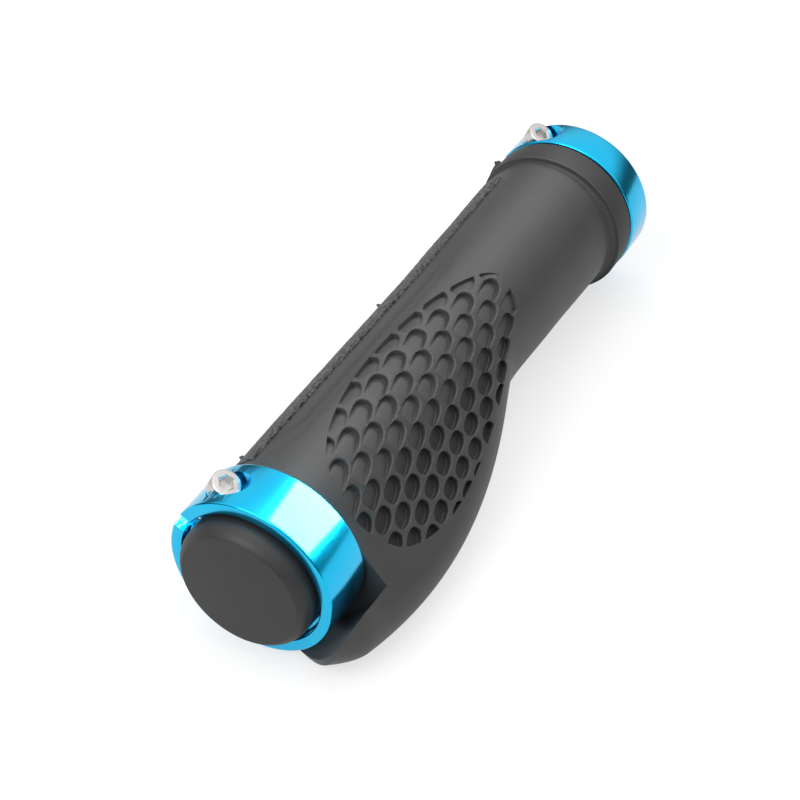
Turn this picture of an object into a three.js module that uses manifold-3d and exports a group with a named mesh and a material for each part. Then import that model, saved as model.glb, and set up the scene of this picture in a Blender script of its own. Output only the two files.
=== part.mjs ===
// An ergonomic bicycle handlebar grip with a palm wing and a clamp ring at each end.
// Lengths are millimetres. While it is built, the grip's frame has +X along the bar from the
// outboard ring's face, the wing along -Y and the mould's parting plane at z = 0.
import * as THREE from 'three';
import { mergeVertices } from 'three/addons/utils/BufferGeometryUtils.js';
import Module from 'manifold-3d';

// Bar, sleeve and the gap left between pieces that seat on each other
const barRadius = 11.1;
const barWall = 2;
const boreClearance = 0.1;
const sleeveWall = 1.2;
const sleeveLength = 112.8;
const seatGap = 0.3;
const rubberStartGap = 0.2;

// Clamp rings
const clampRadius = 16.5;
const outboardClampWidth = 11.4;
const inboardClampWidth = 7.65;
const clampChamfer = 0.4;
const slitWidth = 3.2;
const capRimWall = 2.4;
const capRecessDepth = 2.2;

// Dogs on the sleeve's ends, which key the clamps
const dogWidth = 5;
const dogLength = 2;
const dogRoot = 1;
const dogTurns = [0.25, 0.5, 0.75];

// Clamp screws
const screwInset = 3.1;
const screwShankRadius = 1.45;
const screwHeadRadius = 2.75;
const screwHeadHeight = 3;
const screwHeadSeat = 6.8;
const screwShankLength = 13.2;
const screwHeadChamfer = 0.35;
const socketAcrossFlats = 2.5;
const socketDepth = 1.6;
const pocketGap = 0.6;

// End plug
const capGap = 0.8;
const capShoulder = 1.6;
const capHeight = 3.7;
const capCrown = 0.4;
const capRimHeight = 0.6;
const stemWall = 1.8;
const stemLength = 15;
const stemRibHeight = 0.4;
const stemRibWidth = 2;
const stemRibSetback = 4;
const stemSlots = 2;
const stemSlotWidth = 1.6;
const stemSlotLength = 11;

// Rubber barrel: its radius at five places, the middle three of them so far past its shoulder.
// Its centre lies a little behind the bar's axis, away from the wing.
const barrelRadii = { shoulder: 14.2, palm: 14.35, waist: 14.3, thumb: 14.6, collar: 14.95 };
const barrelSetbacks = { palm: 22, waist: 64, thumb: 82 };
const barrelShift = 0.4;

// Collar against the inboard ring
const collarSetIn = 0.2;
const collarThickness = 6;
const collarFillet = 1.2;
const collarFilletBulge = 0.3;
const collarEdge = 0.4;
const collarStep = 0.9;
const collarNeck = 4.5;

// Palm wing: its crest and its end, so far past the rubber's shoulder
const wingReach = 26.6;
const wingTipRadius = 7;
const wingCrestSetback = 13;
const wingEndSetback = 60.6;
const wingEndBlend = 1.5;

// Blade that the wing sends out over the outboard ring, from the ring's face
const bladeOverhang = 2.4;
const bladeTipRadius = 13.1;
const bladeFlare = 12;
const bladeFlareCurve = 2.5;
const bladeDrop = 2.4;
const bladeDropStart = 4;
const bladeDropCurve = 1.5;
const bladeSlant = 0.1;
const bladeRounding = 0.033;

// Hollow inside the blade, which clears the outboard ring
const ringNotchGap = 2.9;
const ringNotchRadius = 25;
const ringNotchLift = 1.3;

// Raised grain panel, from high on the back round the underside to the wing's rim
const panelRise = 0.4;
const panelRoot = 0.8;
const panelTopAngle = 151;
const panelRimAngle = 24;
const panelInset = 1;
const panelCollarGap = 3.5;
const panelCorner = 4;

// Scale recesses: arcs about one far centre, each a half pitch out of step with the next
const scaleSetback = 37.4;
const scaleFirstArc = -8.5;
const scaleArcRadius = 89;
const scaleArcSpacing = 3.8;
const scaleArcs = 9;
const scaleColumns = 7;
const scalePitch = 7.8;
const scalePhase = 0.4;
const scaleLength = 0.84;
const scaleWidth = 3.6;
const scaleTaper = 0.15;
const scaleTilt = -15;
const scaleFanning = 0.25;
const scaleDepth = 1.1;
const scaleSides = 10;
const scaleSmallest = 1.2;

// Fall of a recess's floor, in shares of its depth: at its middle, along it and across it
const crownFloor = { middle: 0.5, along: 0.6, across: 0.25 };
const flankFloor = { middle: 0.85, along: 0.2, across: 0.3 };
const flankStart = 3;
const flankEnd = 12;

// Outline of the recessed patch: station from the scale centre, girth from the crown
const patchOutline = [
  [33, -1], [31.6, 5.4], [27.2, 10], [15, 15.4], [2.4, 19.6], [-10, 22.3], [-20, 22.2], [-29, 18.8],
  [-33.6, 11], [-33.6, 4], [-29, -2.6], [-20, -6.8], [-8, -9.2], [4, -9.5], [16, -8.2], [27, -5],
];

// Fineness of the curved surfaces
const roundSegments = 56;
const smallRoundSegments = 32;
const skinSegments = 44;
const skinStep = 3.4;
const skinBunching = 1.25;
const panelSteps = 24;
const panelRows = 20;
const patchSegments = 48;
const crownSteps = 3;

const turn = 2 * Math.PI;
const boreRadius = barRadius + boreClearance;
const capRecessRadius = clampRadius - capRimWall;
const screwOffset = clampRadius - screwInset;
const collarRadius = clampRadius - collarSetIn;
const sleeveRadius = boreRadius + sleeveWall;
const rubberBore = sleeveRadius + seatGap;
const sleeveStart = outboardClampWidth + seatGap;
const sleeveEnd = sleeveStart + sleeveLength;
const inboardClampStart = sleeveEnd + seatGap;
const inboardEnd = inboardClampStart + inboardClampWidth;
const rubberStart = sleeveStart + rubberStartGap;
const collarStart = sleeveEnd - collarThickness;
const wingCrest = rubberStart + wingCrestSetback;
const wingEnd = rubberStart + wingEndSetback;
const scaleStation = rubberStart + scaleSetback;
const farOutside = 2 * (wingReach + clampRadius);

const wasm = await Module();
wasm.setup();

// A closed geometry as a solid, with the vertices that its faces share merged
function solid(geometry) {
  geometry.deleteAttribute('normal');
  geometry.deleteAttribute('uv');
  const merged = mergeVertices(geometry, 1e-5);
  return new wasm.Manifold(new wasm.Mesh({
    numProp: 3,
    vertProperties: new Float32Array(merged.attributes.position.array),
    triVerts: new Uint32Array(merged.index.array),
  }));
}

function meshOf(name, body, color, roughness, metalness) {
  const result = body.getMesh();
  const geometry = new THREE.BufferGeometry();
  geometry.setAttribute('position', new THREE.BufferAttribute(result.vertProperties, 3));
  geometry.setIndex(new THREE.BufferAttribute(result.triVerts, 1));
  geometry.computeVertexNormals();
  const mesh = new THREE.Mesh(geometry, new THREE.MeshStandardMaterial({ color, roughness, metalness }));
  mesh.name = name;
  return mesh;
}

// A body turned about the bar's axis, from closed [radius, station] outline points
function turned(outline, segments = roundSegments) {
  const points = outline.map(([radius, station]) => new THREE.Vector2(radius, station));
  const geometry = new THREE.LatheGeometry(points.concat(points[0].clone()), segments);
  return solid(geometry.rotateZ(-Math.PI / 2));
}

// A round rod along Z, from the same kind of outline with heights in place of stations
function upright(outline, segments) {
  const points = outline.map(([radius, height]) => new THREE.Vector2(radius, height));
  return solid(new THREE.LatheGeometry(points, segments).rotateX(Math.PI / 2));
}

function block(low, high) {
  const size = high.map((value, axis) => value - low[axis]);
  const middle = high.map((value, axis) => (value + low[axis]) / 2);
  return solid(new THREE.BoxGeometry(...size).translate(...middle));
}

function rodAlongBar(radius, from, to) {
  return turned([[0, from], [radius, from], [radius, to], [0, to]]);
}

function rodAlongZ(radius, low, high, segments) {
  return upright([[0, low], [radius, low], [radius, high], [0, high]], segments);
}

const ease = (share) => (1 - Math.cos(Math.PI * THREE.MathUtils.clamp(share, 0, 1))) / 2;

// Places along the barrel where its radius is set
const barrelProfile = [
  { station: rubberStart, radius: barrelRadii.shoulder },
  { station: rubberStart + barrelSetbacks.palm, radius: barrelRadii.palm },
  { station: rubberStart + barrelSetbacks.waist, radius: barrelRadii.waist },
  { station: rubberStart + barrelSetbacks.thumb, radius: barrelRadii.thumb },
  { station: collarStart - collarNeck, radius: barrelRadii.collar },
];

// Radius of the round barrel at a station
function barrelRadius(station) {
  let radius = barrelProfile[0].radius;
  for (let i = 1; i < barrelProfile.length; i++) {
    const from = barrelProfile[i - 1];
    const to = barrelProfile[i];
    radius += (to.radius - from.radius) * ease((station - from.station) / (to.station - from.station));
  }
  return radius;
}

// How far the wing's tip lies from the barrel's centre: an arc that sinks into the barrel
function reachAt(station) {
  const barrel = barrelRadius(station);
  const share = (station - wingCrest) / (wingEnd - wingCrest);
  const arc = wingReach + barrelShift - (wingReach + barrelShift - barrel) * share ** 2;
  const toEnd = Math.max(0, (bladeDropStart - station) / (bladeDropStart + bladeOverhang));
  const above = arc - bladeDrop * toEnd ** bladeDropCurve - barrel;
  return barrel + (above + Math.hypot(above, wingEndBlend)) / 2;
}

// The section is two circles, the barrel's and the wing tip's, joined by their common tangents
function section(station, offset = 0) {
  const barrel = barrelRadius(station);
  const reach = reachAt(station);
  const strength = THREE.MathUtils.clamp((reach - barrel) / (wingReach + barrelShift - barrel), 0, 1);
  const toBladeEnd = Math.max(0, 1 - (station + bladeOverhang) / (bladeFlare + bladeOverhang));
  const plainTip = THREE.MathUtils.lerp(barrel, wingTipRadius, strength);
  const tip = THREE.MathUtils.lerp(plainTip, bladeTipRadius, toBladeEnd ** bladeFlareCurve);
  const distance = reach - tip;
  const tangent = Math.acos(THREE.MathUtils.clamp((barrel - tip) / distance, -1, 1));
  const core = barrel + offset;
  const nose = tip + offset;
  const flat = distance * Math.sin(tangent);
  const crownArc = core * (Math.PI / 2 - tangent);
  return { core, nose, distance, tangent, flat, crownArc, toBladeEnd };
}

// The girth from the crown to the wing's tip
const girthToTip = (s) => s.crownArc + s.flat + s.nose * s.tangent;

// The skin at a girth from the crown, positive towards the wing, on the upper side:
// [out along the wing, up from the parting plane, and the normal's two components]
function skin(s, girth) {
  const beyondArc = girth - s.crownArc;
  const onNose = beyondArc > s.flat;
  const onFlat = beyondArc > 0 && !onNose;
  let angle = Math.PI / 2 - girth / s.core;
  if (onFlat) angle = s.tangent;
  if (onNose) angle = s.tangent - (beyondArc - s.flat) / s.nose;
  const [nOut, nUp] = [Math.cos(angle), Math.sin(angle)];
  const radius = onNose ? s.nose : s.core;
  const centre = (onNose ? s.distance : 0) - barrelShift;
  const along = onFlat ? beyondArc : 0;
  return [centre + radius * nOut + along * nUp, radius * nUp - along * nOut, nOut, nUp];
}

// The skin by its normal's angle from the wing's direction, on the upper side
function girthAtAngle(s, degrees) {
  const angle = THREE.MathUtils.degToRad(degrees);
  if (angle >= s.tangent) return s.core * (Math.PI / 2 - angle);
  return girthToTip(s) - s.nose * angle;
}

// Even stations along the skin
function skinStations(from, to) {
  const count = Math.ceil((to - from) / skinStep);
  return Array.from({ length: count + 1 }, (_, i) => from + ((to - from) * i) / count);
}

// The skin as one closed loft, from the blade's end to the collar
function loft(stations) {
  const steps = stations.length - 1;
  const geometry = new THREE.CylinderGeometry(1, 1, 1, skinSegments, steps);
  const position = geometry.attributes.position;
  for (let i = 0; i < position.count; i++) {
    const station = stations[Math.round((position.getY(i) + 0.5) * steps)];
    const onAxis = Math.hypot(position.getX(i), position.getZ(i)) < 0.5;
    const angle = Math.atan2(position.getX(i), position.getZ(i));
    const s = section(station);
    const fromTip = 1 - Math.abs(angle) / Math.PI;
    const whole = girthToTip(s) + s.core * (Math.PI / 2);
    const [out, up] = skin(s, girthToTip(s) - whole * fromTip ** skinBunching);
    const side = Math.abs(fromTip) < 1e-6 ? 0 : Math.sign(angle);
    const height = onAxis || Math.abs(up) < 1e-9 ? 0 : up * side;
    const drawnBack = s.toBladeEnd * (bladeRounding * height ** 2 - bladeSlant * height);
    position.setXYZ(i, station + drawnBack, onAxis ? 0 : -out, height);
  }
  return solid(geometry);
}

// The raised grain panel: a blanket that follows the skin from the back to the wing's rim
function grainPanel() {
  const from = rubberStart + panelInset;
  const to = collarStart - panelCollarGap;
  const geometry = new THREE.BoxGeometry(1, 1, 1, panelSteps, panelRows, 1);
  const position = geometry.attributes.position;
  for (let i = 0; i < position.count; i++) {
    const share = position.getY(i) + 0.5;
    const rise = position.getZ(i) > 0 ? panelRise : -panelRoot;
    const middle = section(THREE.MathUtils.lerp(from, to, position.getX(i) + 0.5));
    const topGirth = girthAtAngle(middle, panelTopAngle);
    const rimGirth = girthAtAngle(middle, panelRimAngle);
    const back = -middle.core * (Math.PI / 2);
    const length = topGirth - back + (rimGirth - back);
    const along = share * length;
    const edge = Math.min(along, length - along, panelCorner);
    const inset = panelCorner - Math.sqrt(panelCorner ** 2 - (panelCorner - edge) ** 2);
    const station = THREE.MathUtils.lerp(from, to - inset, position.getX(i) + 0.5);
    const s = section(station);
    const onTop = along < topGirth - back;
    const girth = onTop ? topGirth - along : back + (along - (topGirth - back));
    const [out, up, nOut, nUp] = skin(s, girth);
    const side = onTop ? 1 : -1;
    position.setXYZ(i, station, -(out + nOut * rise), side * (up + nUp * rise));
  }
  return solid(geometry);
}

// Cuts an outline to the convex patch, edge by edge
function clipToPatch(outline, patch) {
  let kept = outline;
  for (let i = 0; i < patch.length; i++) {
    const a = patch[i];
    const edge = patch[(i + 1) % patch.length].clone().sub(a);
    const inside = (p) => edge.x * (p.y - a.y) - edge.y * (p.x - a.x);
    const next = [];
    kept.forEach((p, k) => {
      const q = kept[(k + 1) % kept.length];
      const [dp, dq] = [inside(p), inside(q)];
      if (dp >= 0) next.push(p);
      if (dp * dq < 0) next.push(p.clone().lerp(q, dp / (dp - dq)));
    });
    kept = next;
  }
  return kept;
}

// One scale recess: an oval whose floor rises towards its outboard end, as a cutter
function scaleCutter(centre, halfLength, halfWidth, angle, patch) {
  const axis = new THREE.Vector2(Math.cos(angle), Math.sin(angle));
  const oval = Array.from({ length: scaleSides }, (_, k) => {
    const round = (turn * (k + 0.5)) / scaleSides;
    return new THREE.Vector2(halfLength * Math.cos(round), halfWidth * Math.sin(round))
      .rotateAround(new THREE.Vector2(), angle).add(centre);
  });
  const outline = clipToPatch(oval, patch);
  if (outline.length < 3 || Math.abs(THREE.ShapeUtils.area(outline)) < scaleSmallest) return null;
  const flank = ease((centre.y - flankStart) / (flankEnd - flankStart));
  const shape = new THREE.Shape(outline.map((p) => new THREE.Vector2(p.x, -p.y)));
  const geometry = new THREE.ExtrudeGeometry(shape, { depth: 1, bevelEnabled: false });
  const position = geometry.attributes.position;
  for (let i = 0; i < position.count; i++) {
    const offset = new THREE.Vector2(position.getX(i), -position.getY(i)).sub(centre);
    const along = offset.dot(axis) / halfLength;
    const across = offset.cross(axis) / -halfWidth;
    const fall = (floor) => floor.middle + floor.along * along + floor.across * across;
    const depth = scaleDepth * THREE.MathUtils.lerp(fall(crownFloor), fall(flankFloor), flank);
    const level = position.getZ(i) > 0.5 ? 1 : -depth;
    const station = position.getX(i) + scaleStation;
    const [out, up, nOut, nUp] = skin(section(station), -position.getY(i));
    position.setXYZ(i, station, -(out + nOut * level), up + nUp * level);
  }
  return solid(geometry);
}

function scaleCutters() {
  const curve = new THREE.CatmullRomCurve3(patchOutline.map(([x, y]) => new THREE.Vector3(x, y, 0)), true);
  const patch = curve.getPoints(patchSegments).slice(0, -1).map((p) => new THREE.Vector2(p.x, p.y));
  const cutters = [];
  for (let arc = 0; arc < scaleArcs; arc++) {
    const radius = scaleArcRadius - arc * scaleArcSpacing;
    const pitch = scalePitch / scaleArcRadius;
    const phase = scalePhase + (arc % 2) / 2;
    const halfLength = (scaleLength * pitch * radius) / 2;
    const halfWidth = (scaleWidth - scaleTaper * arc) / 2;
    for (let step = -scaleColumns; step < scaleColumns; step++) {
      const angle = (step + phase) * pitch;
      const girth = scaleFirstArc + scaleArcRadius - radius * Math.cos(angle);
      const centre = new THREE.Vector2(radius * Math.sin(angle), girth);
      const tilt = THREE.MathUtils.degToRad(scaleTilt) + scaleFanning * angle;
      const cutter = scaleCutter(centre, halfLength, halfWidth, tilt, patch);
      if (cutter) cutters.push(cutter);
    }
  }
  return cutters;
}

function rubberGrip() {
  const stations = skinStations(-bladeOverhang, wingEnd).concat(skinStations(wingEnd, sleeveEnd).slice(1));
  const neck = barrelRadius(collarStart);
  const bulge = collarFillet * collarFilletBulge;
  const collar = turned([
    [rubberBore, collarStart - collarFillet],
    [neck, collarStart - collarFillet],
    [neck + bulge, collarStart - bulge],
    [neck + collarFillet, collarStart],
    [collarRadius - collarEdge, collarStart],
    [collarRadius, collarStart + collarEdge],
    [collarRadius, sleeveEnd],
    [rubberBore, sleeveEnd],
  ]);
  const lowerStep = turned([
    [neck + collarFillet, collarStart - seatGap],
    [collarRadius + seatGap, collarStart - seatGap],
    [collarRadius + seatGap, collarStart + collarStep],
    [neck + collarFillet, collarStart + collarStep],
  ]).intersect(block([0, -farOutside, -farOutside], [sleeveEnd, farOutside, 0]));
  const bore = rodAlongBar(rubberBore, -farOutside, sleeveEnd + seatGap);
  const notchCentre = clampRadius + ringNotchGap - ringNotchRadius;
  const ringNotch = rodAlongBar(ringNotchRadius, -farOutside, rubberStart)
    .translate([0, -notchCentre, ringNotchLift]);
  let body = loft(stations).add(grainPanel()).add(collar);
  body = body.subtract(lowerStep).subtract(bore).subtract(ringNotch);
  for (const cutter of scaleCutters()) body = body.subtract(cutter);
  return meshOf('rubber_grip', body, 0x4a4a4b, 0.55, 0);
}

// Dogs at one end of the sleeve, or the notches that take them, between two stations
function dogs(from, to, clearance) {
  const half = dogWidth / 2 + clearance;
  const parts = dogTurns.map((share) => {
    const bar = block([from, 0, -half], [to, farOutside, half]);
    return bar.rotate([360 * share, 0, 0]);
  });
  const ring = turned([
    [boreRadius - clearance, from], [sleeveRadius + clearance, from],
    [sleeveRadius + clearance, to], [boreRadius - clearance, to],
  ]);
  return parts.reduce((sum, part) => sum.add(part)).intersect(ring);
}

function coreSleeve() {
  const tube = turned([
    [boreRadius, sleeveStart], [sleeveRadius, sleeveStart],
    [sleeveRadius, sleeveEnd], [boreRadius, sleeveEnd],
  ]);
  const reach = dogLength + seatGap;
  const body = tube
    .add(dogs(sleeveStart - reach, sleeveStart + dogRoot, 0))
    .add(dogs(sleeveEnd - dogRoot, sleeveEnd + reach, 0));
  return meshOf('core_sleeve', body, 0x1b1b1c, 0.5, 0);
}

// A clamp ring from one station to the other; its slit and screw lie opposite the wing
function clamp(name, from, to, notches, recessDepth) {
  const edge = clampChamfer;
  const outline = recessDepth > 0
    ? [[boreRadius, from + recessDepth], [capRecessRadius, from + recessDepth], [capRecessRadius, from]]
    : [[boreRadius, from]];
  outline.push([clampRadius - edge, from], [clampRadius, from + edge]);
  outline.push([clampRadius, to - edge], [clampRadius - edge, to], [boreRadius, to]);
  const middle = screwStation(from, to);
  const hole = rodAlongZ(screwShankRadius + seatGap, -clampRadius, clampRadius, smallRoundSegments);
  const pocketRadius = screwHeadRadius + pocketGap;
  const pocket = rodAlongZ(pocketRadius, screwHeadSeat - seatGap, clampRadius, smallRoundSegments);
  const slit = block([from - seatGap, 0, -slitWidth / 2], [to + seatGap, farOutside, slitWidth / 2]);
  const body = turned(outline)
    .subtract(slit)
    .subtract(hole.translate([middle, screwOffset, 0]))
    .subtract(pocket.translate([middle, screwOffset, 0]))
    .subtract(notches);
  return meshOf(name, body, 0x00a8e6, 0.2, 0.9);
}

function outboardClamp() {
  const depth = dogLength + seatGap;
  const notches = dogs(outboardClampWidth - depth, outboardClampWidth + seatGap, seatGap);
  return clamp('outboard_clamp', 0, outboardClampWidth, notches, capRecessDepth);
}

function inboardClamp() {
  const depth = dogLength + seatGap;
  const notches = dogs(inboardClampStart - seatGap, inboardClampStart + depth, seatGap);
  return clamp('inboard_clamp', inboardClampStart, inboardEnd, notches, 0);
}

const screwStation = (from, to) => (from + to) / 2;

function clampScrew(name, station) {
  const face = screwHeadSeat + screwHeadHeight;
  const rod = upright([
    [0, screwHeadSeat - screwShankLength],
    [screwShankRadius, screwHeadSeat - screwShankLength],
    [screwShankRadius, screwHeadSeat],
    [screwHeadRadius, screwHeadSeat],
    [screwHeadRadius, face - screwHeadChamfer],
    [screwHeadRadius - screwHeadChamfer, face],
    [0, face],
  ], smallRoundSegments);
  const socketRadius = socketAcrossFlats / Math.sqrt(3);
  const socket = rodAlongZ(socketRadius, face - socketDepth, face + seatGap, 6);
  const body = rod.subtract(socket).translate([station, screwOffset, 0]);
  return meshOf(name, body, 0xd8d6d2, 0.25, 1);
}

// A rib round the plug's stem, as outline points about its middle
function stemRib(radius, middle) {
  const half = stemRibWidth / 2;
  return [[radius, middle - half], [radius + stemRibHeight, middle], [radius, middle + half]];
}

function endPlug() {
  const capRadius = capRecessRadius - capGap;
  const faceRadius = capRadius - capShoulder;
  const stemRadius = barRadius - barWall - stemRibHeight;
  const back = capRecessDepth - seatGap;
  const stemEnd = back + stemLength;
  const floor = back + stemWall;
  const crown = Array.from({ length: crownSteps }, (_, i) => {
    const share = i / crownSteps;
    return [faceRadius * share, -capHeight - capCrown * (1 - share * share)];
  });
  const shoulder = Array.from({ length: crownSteps + 1 }, (_, i) => {
    const angle = (Math.PI / 2) * (i / crownSteps);
    return [
      faceRadius + capShoulder * Math.sin(angle),
      -capRimHeight - (capHeight - capRimHeight) * Math.cos(angle),
    ];
  });
  let body = turned([
    ...crown, ...shoulder,
    [capRadius, back], [stemRadius, back],
    ...stemRib(stemRadius, back + stemRibSetback),
    ...stemRib(stemRadius, stemEnd - stemRibSetback),
    [stemRadius, stemEnd], [stemRadius - stemWall, stemEnd],
    [stemRadius - stemWall, floor], [0, floor],
  ]);
  const slotLow = [stemEnd - stemSlotLength, -farOutside, -stemSlotWidth / 2];
  const slotHigh = [stemEnd + seatGap, farOutside, stemSlotWidth / 2];
  for (let i = 0; i < stemSlots; i++) {
    body = body.subtract(block(slotLow, slotHigh).rotate([(180 * (i + 0.5)) / stemSlots, 0, 0]));
  }
  return meshOf('end_plug', body, 0x2c2b2c, 0.6, 0);
}

const grip = new THREE.Group();
grip.add(
  rubberGrip(),
  coreSleeve(),
  outboardClamp(),
  inboardClamp(),
  clampScrew('outboard_clamp_screw', screwStation(0, outboardClampWidth)),
  clampScrew('inboard_clamp_screw', screwStation(inboardClampStart, inboardEnd)),
  endPlug(),
);

// It lies on its two rings and the underside of the wing, with the origin below its middle
const crest = section(wingCrest, panelRise);
grip.rotation.x = Math.asin((clampRadius - crest.nose) / (crest.distance - barrelShift));
grip.updateMatrixWorld(true);
const bounds = new THREE.Box3().setFromObject(grip, true);
const middle = bounds.getCenter(new THREE.Vector3());
grip.position.set(-middle.x, -middle.y, -bounds.min.z);

const part = new THREE.Group();
part.add(grip);
export default part;
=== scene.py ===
# Looks for an ergonomic bicycle handlebar grip: a rubber body with a palm wing, clamped to the
# bar by an anodised ring at each end. Each piece is shaped in the grip's own frame, in
# millimetres: +X along the bar from the outboard ring's face, the wing along -Y and the
# mould's parting plane at z = 0. finished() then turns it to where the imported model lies.
import math

import bmesh
import bpy
from mathutils import Matrix, Vector


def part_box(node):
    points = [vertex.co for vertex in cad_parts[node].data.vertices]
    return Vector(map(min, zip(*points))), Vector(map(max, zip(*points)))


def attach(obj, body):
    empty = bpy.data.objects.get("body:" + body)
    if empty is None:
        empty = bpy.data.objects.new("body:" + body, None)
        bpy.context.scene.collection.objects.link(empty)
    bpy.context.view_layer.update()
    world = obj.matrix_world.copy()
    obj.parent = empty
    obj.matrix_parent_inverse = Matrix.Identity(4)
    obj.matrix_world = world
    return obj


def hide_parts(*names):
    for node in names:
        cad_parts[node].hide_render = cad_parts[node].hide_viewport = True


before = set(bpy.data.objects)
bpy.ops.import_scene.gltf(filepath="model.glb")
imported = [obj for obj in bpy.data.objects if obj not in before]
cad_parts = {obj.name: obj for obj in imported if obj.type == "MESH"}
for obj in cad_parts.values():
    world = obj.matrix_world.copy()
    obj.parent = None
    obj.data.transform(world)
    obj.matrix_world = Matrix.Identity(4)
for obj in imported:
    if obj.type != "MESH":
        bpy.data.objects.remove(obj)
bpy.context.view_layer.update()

MM = 0.001
TURN = 2 * math.pi
FAR = 90.0  # a length that reaches outside the grip from anywhere in it

# Bar, sleeve and rings
BORE_RADIUS = 11.2
SLEEVE_RADIUS = 12.4
SEAT_GAP = 0.3
RUBBER_BORE = SLEEVE_RADIUS + SEAT_GAP
RING_RADIUS = 16.5
OUTBOARD_RING_WIDTH = 11.4
INBOARD_RING_WIDTH = 7.65
SLEEVE_START = OUTBOARD_RING_WIDTH + SEAT_GAP
SLEEVE_END = SLEEVE_START + 112.8
INBOARD_RING_START = SLEEVE_END + SEAT_GAP
GRIP_END = INBOARD_RING_START + INBOARD_RING_WIDTH

# Rubber: where it starts, and where its collar does
RUBBER_START = SLEEVE_START + 0.2
COLLAR_START = SLEEVE_END - 6
COLLAR_RADIUS = 16.3
COLLAR_FILLET = 0.9

# Dogs of the sleeve, which key the rings
DOG_HALF_WIDTH = 2.5
DOG_LENGTH = 2

# Rings: their edges, slit and screw hole, and the outboard ring's recess for the end plug
RING_EDGE = 0.45
SLIT_HALF_WIDTH = 1.6
SCREW_HOLE_RADIUS = 1.75
CAP_RECESS_RADIUS = 14.1
CAP_RECESS_DEPTH = 2.2

# Round cut that clears the blade from the outboard ring: its radius, its gap and how high it lies
NOTCH_RADIUS = 25.0
NOTCH_GAP = 2.9
NOTCH_LIFT = 4.5

# End plug: how far it stands out, then its cap from the middle outwards and its stem. Ends and
# backs are stations along the bar.
PLUG_OVERHANG = 4.1
CAP_DOME = 0.4
CAP_FACE_RADIUS = 11.7
CAP_CREASE = 0.45  # the angle, in radians, at which the shoulder leaves the face
CAP_SHOULDER_END = -0.6
CAP_RADIUS = 13.3
CAP_BACK = 1.9
STEM_RADIUS = 8.7
STEM_WALL = 1.8
STEM_END = 16.9
STEM_RIB = 0.4
STEM_SLOT_HALF_WIDTH = 0.8
STEM_SLOT_LENGTH = 11

# Sizes of the rubber's skin, which are the inputs of every tree that follows it
SKIN = {
    "shoulder radius": 14.2,
    "palm radius": 14.35,
    "waist radius": 14.3,
    "thumb radius": 14.6,
    "collar neck radius": 14.95,
    "barrel shift": 0.4,
    "wing reach": 26.6,
    "wing tip radius": 7.0,
    "wing crest station": RUBBER_START + 13,
    "wing end station": RUBBER_START + 60.6,
    "wing end blend": 1.5,
    "blade overhang": 2.4,
    "blade tip radius": 13.1,
    "blade flare length": 12.0,
    "blade flare curve": 2.5,
    "blade drop": 2.4,
    "blade drop start": 4.0,
    "blade drop curve": 1.5,
    "blade slant": 0.1,
    "blade rounding": 0.033,
}
BARREL_STATIONS = [
    ("shoulder radius", RUBBER_START),
    ("palm radius", RUBBER_START + 22),
    ("waist radius", RUBBER_START + 64),
    ("thumb radius", RUBBER_START + 82),
    ("collar neck radius", COLLAR_START - 4.5),
]
SKIN_BUNCHING = 1.25  # above 1, the loft's points lie closer at the wing's tip

# Shallow channel beside the panel, which fades in and out along the bar
CHANNEL = {
    "depth": 0.9,
    "angle": math.radians(141),
    "spread": math.radians(15),
    "start": 16.0,
    "start blend": 14.0,
    "end": 92.0,
    "end blend": 20.0,
}

# Scale recesses: arcs about one far centre, each a half pitch out of step with the next
SCALES = {
    "scale station": RUBBER_START + 37.4,
    "first arc girth": -8.5,
    "arc radius": 89.0,
    "arc spacing": 3.8,
    "scale pitch": 7.8,
    "scale phase": 0.4,
    "scale length": 0.84,
    "scale width": 3.75,
    "width taper": 0.1,
    "tilt": math.radians(-15),
    "fanning": 0.25,
    "depth": 1.1,
    "lip": 0.22,
    "floor fillet": 0.15,
    "roundness": 2.5,
    "leg straightness": 9.0,
    "smallest area": 1.2,
    "flank start": 3.0,
    "flank end": 12.0,
}
SCALE_ARCS = 9
SCALE_COLUMNS = 14

# Floors of the recesses on the crown and on the wing's flank, as shares of the depth: at the
# middle, how it grows along and across, across on the first arc, and the groove at the edge
CROWN_FLOOR = {"middle": 0.5, "along": 0.5, "across": 0.1, "first across": -0.5, "groove": 0.3}
FLANK_FLOOR = {"middle": 1.0, "along": 0.12, "across": 0.08}
# Painted light in the recess floors: crown floors are painted paler as a painted sheen, flank floors darker
# as painted shade
CROWN_PAINTED_SHEEN, FLANK_PAINTED_SHADE = 1.0, -1.3  # how much paler a recess is, or darker below 0

# Outline of the recessed patch: station and girth, from its middle
PATCH_OUTLINE = [
    (33, -1), (31.6, 5.4), (27.2, 10), (15, 15.4), (2.4, 19.6), (-10, 22.3), (-20, 22.2), (-29, 18.8),
    (-33.6, 11), (-33.6, 4), (-29, -2.6), (-20, -6.8), (-8, -9.2), (4, -9.5), (16, -8.2), (27, -5),
]

# Raised grain panel on the back and underside
PANEL = {
    "panel rise": 0.4,
    "panel root": 0.8,
    "panel top angle": math.radians(151),
    "panel rim angle": math.radians(24),
    "panel start": RUBBER_START + 3.5,
    "panel end": COLLAR_START - 3.5,
    "panel corner": 4.0,
    "grain height": 0.1,
    "grain size": 0.9,
    "grain level": 0.62,
    "grain slope": 3.0,
}
PANEL_EDGE = 0.5  # how far in from its edge the panel reaches its full rise

# Mould flash on the parting line: station, radius, height and half its length
FLASH_NIBS = [(19.4, 14.4, 1.2, 1.2), (69.5, 14.7, 1.0, 0.9), (SLEEVE_END - 1.2, 17.0, 0.5, 0.8)]
FLASH_HALF_THICKNESS = 0.16

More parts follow.
